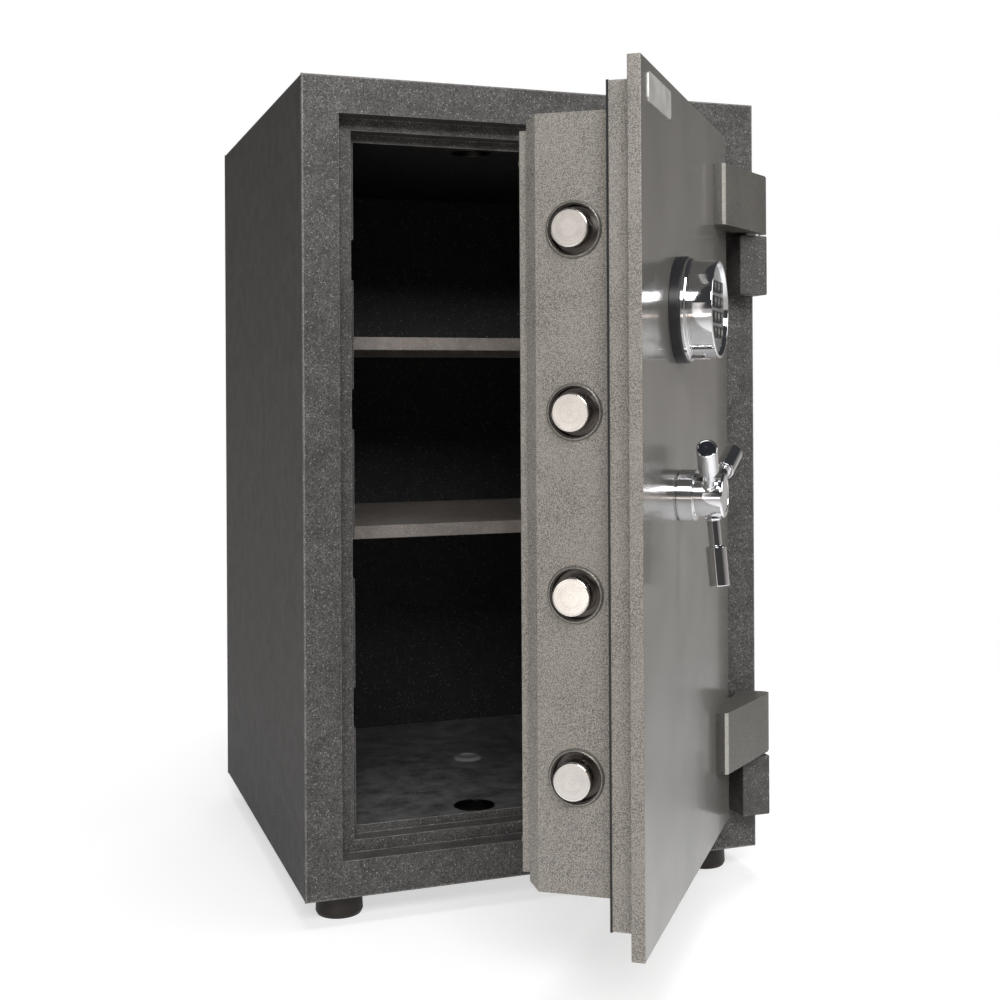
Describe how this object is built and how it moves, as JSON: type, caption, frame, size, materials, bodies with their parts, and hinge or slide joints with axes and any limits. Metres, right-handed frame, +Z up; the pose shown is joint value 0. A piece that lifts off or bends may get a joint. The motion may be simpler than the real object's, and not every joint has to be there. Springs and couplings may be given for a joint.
{
  "type": "safe",
  "caption": "Free-standing fire and burglary safe with a hinged stepped door, round locking bolts, spoke handle, keypad lock and shelves.",
  "frame": {"origin": "centre of the body's underside, at the mouth of the floor anchor hole; the feet reach 28 mm below it", "axes": "+Z up, -Y towards the door side, +X towards the hinge side"},
  "size_m": [0.525, 0.9231, 0.878],
  "materials": {
    "dark_paint": "textured charcoal powder coat",
    "door_paint": "semi-gloss warm grey enamel",
    "hammer_paint": "warm grey hammertone",
    "black_paint": "matt black",
    "shelf_paint": "satin taupe grey",
    "filling": "cast mineral composite",
    "steel": "machined",
    "bushing_steel": "dull grey, pressed",
    "bolt_steel": "polished round bar",
    "chrome": "mirror chrome",
    "badge_metal": "brushed, unlettered",
    "black_plastic": "satin black",
    "foot_plastic": "satin dark brown-black",
    "plug_plastic": "satin dark grey",
    "key_plastic": "dark keys with pale numerals",
    "board": "green circuit board",
    "cable": "black jacket",
    "lock_casting": "die-cast zinc look",
    "brass": "machined"
  },
  "bodies": {
    "body": {"outer_shell": "dark_paint", "back_panel": "dark_paint", "front_frame": "dark_paint", "wall_filling": "filling", "inner_liner": "black_paint", "feet": "foot_plastic", "foot_screws": "steel", "shelf_upper": "shelf_paint", "shelf_lower": "shelf_paint", "shelf_brackets": "black_paint", "anchor_sleeve": "steel", "anchor_plug": "plug_plastic", "hinge_block_upper": "dark_paint", "hinge_block_lower": "dark_paint", "hinge_pins": "steel", "hinge_washers": "steel"},
    "door": {"door_plate": "door_paint", "door_step": "hammer_paint", "door_filling": "filling", "door_box": "hammer_paint", "mount_plate": "steel", "back_cover": "hammer_paint", "cover_screws": "steel", "bolt_bushings": "bushing_steel", "hinge_leaf_upper": "door_paint", "hinge_leaf_lower": "door_paint", "badge_plate": "badge_metal", "keypad_base": "black_plastic", "keypad_bezel": "chrome", "keypad_face": "black_plastic", "keypad_board": "board", "keypad_cable": "cable", "lock_body": "lock_casting", "spindle_bushing": "brass", "rod_guides": "steel"},
    "handle": {"handle_hub": "chrome", "handle_spokes": "chrome", "spindle": "steel", "drive_pinion": "steel"},
    "bolt_carriage": {"bolt_carrier": "steel", "side_rack": "steel", "side_bolts": "bolt_steel"},
    "upper_bolt": {"top_bolt": "bolt_steel", "top_rod": "steel"},
    "lower_bolt": {"bottom_bolt": "bolt_steel", "bottom_rod": "steel"},
    "lock_bolt": {"lock_bolt": "brass"},
    "battery_drawer": {"battery_drawer": "chrome"},
    "key_1": {"key_1": "key_plastic"},
    "key_2": {"key_2": "key_plastic"},
    "key_3": {"key_3": "key_plastic"},
    "key_4": {"key_4": "key_plastic"},
    "key_5": {"key_5": "key_plastic"},
    "key_6": {"key_6": "key_plastic"},
    "key_7": {"key_7": "key_plastic"},
    "key_8": {"key_8": "key_plastic"},
    "key_9": {"key_9": "key_plastic"},
    "key_star": {"key_star": "key_plastic"},
    "key_0": {"key_0": "key_plastic"},
    "key_hash": {"key_hash": "key_plastic"}
  },
  "joints": [
    {"name": "door_swing", "type": "hinge", "parent": "body", "child": "door", "pos_m": [0.245, -0.2945, 0.425], "axis": [0, 0, 1], "range_deg": [-53, 57]},
    {"name": "handle_turn", "type": "hinge", "parent": "door", "child": "handle", "pos_m": [0.04668, -0.52195, 0.425], "axis": [0.7986, -0.6018, 0], "range_deg": [-38, 47]},
    {"name": "side_bolts_slide", "type": "slide", "parent": "door", "child": "bolt_carriage", "axis": [-0.6018, -0.7986, 0], "range_m": [-0.016, 0.02]},
    {"name": "top_bolt_slide", "type": "slide", "parent": "door", "child": "upper_bolt", "axis": [0, 0, 1], "range_m": [-0.016, 0.02]},
    {"name": "bottom_bolt_slide", "type": "slide", "parent": "door", "child": "lower_bolt", "axis": [0, 0, -1], "range_m": [-0.016, 0.02]},
    {"name": "lock_bolt_slide", "type": "slide", "parent": "door", "child": "lock_bolt", "axis": [0, 0, -1], "range_m": [0, 0.013]},
    {"name": "battery_drawer_slide", "type": "slide", "parent": "door", "child": "battery_drawer", "axis": [0, 0, -1], "range_m": [0, 0.025]},
    {"name": "key_1_press", "type": "slide", "parent": "door", "child": "key_1", "axis": [-0.7986, 0.6018, 0], "range_m": [0, 0.001], "stiffness_N_per_m": 400, "springref_m": -0.0005},
    {"name": "key_2_press", "type": "slide", "parent": "door", "child": "key_2", "axis": [-0.7986, 0.6018, 0], "range_m": [0, 0.001], "stiffness_N_per_m": 400, "springref_m": -0.0005},
    {"name": "key_3_press", "type": "slide", "parent": "door", "child": "key_3", "axis": [-0.7986, 0.6018, 0], "range_m": [0, 0.001], "stiffness_N_per_m": 400, "springref_m": -0.0005},
    {"name": "key_4_press", "type": "slide", "parent": "door", "child": "key_4", "axis": [-0.7986, 0.6018, 0], "range_m": [0, 0.001], "stiffness_N_per_m": 400, "springref_m": -0.0005},
    {"name": "key_5_press", "type": "slide", "parent": "door", "child": "key_5", "axis": [-0.7986, 0.6018, 0], "range_m": [0, 0.001], "stiffness_N_per_m": 400, "springref_m": -0.0005},
    {"name": "key_6_press", "type": "slide", "parent": "door", "child": "key_6", "axis": [-0.7986, 0.6018, 0], "range_m": [0, 0.001], "stiffness_N_per_m": 400, "springref_m": -0.0005},
    {"name": "key_7_press", "type": "slide", "parent": "door", "child": "key_7", "axis": [-0.7986, 0.6018, 0], "range_m": [0, 0.001], "stiffness_N_per_m": 400, "springref_m": -0.0005},
    {"name": "key_8_press", "type": "slide", "parent": "door", "child": "key_8", "axis": [-0.7986, 0.6018, 0], "range_m": [0, 0.001], "stiffness_N_per_m": 400, "springref_m": -0.0005},
    {"name": "key_9_press", "type": "slide", "parent": "door", "child": "key_9", "axis": [-0.7986, 0.6018, 0], "range_m": [0, 0.001], "stiffness_N_per_m": 400, "springref_m": -0.0005},
    {"name": "key_star_press", "type": "slide", "parent": "door", "child": "key_star", "axis": [-0.7986, 0.6018, 0], "range_m": [0, 0.001], "stiffness_N_per_m": 400, "springref_m": -0.0005},
    {"name": "key_0_press", "type": "slide", "parent": "door", "child": "key_0", "axis": [-0.7986, 0.6018, 0], "range_m": [0, 0.001], "stiffness_N_per_m": 400, "springref_m": -0.0005},
    {"name": "key_hash_press", "type": "slide", "parent": "door", "child": "key_hash", "axis": [-0.7986, 0.6018, 0], "range_m": [0, 0.001], "stiffness_N_per_m": 400, "springref_m": -0.0005}
  ],
  "couplings": [
    {"joint": "side_bolts_slide", "follows": "handle_turn", "m_per_rad": 0.024},
    {"joint": "top_bolt_slide", "follows": "handle_turn", "m_per_rad": 0.024},
    {"joint": "bottom_bolt_slide", "follows": "handle_turn", "m_per_rad": 0.024}
  ]
}
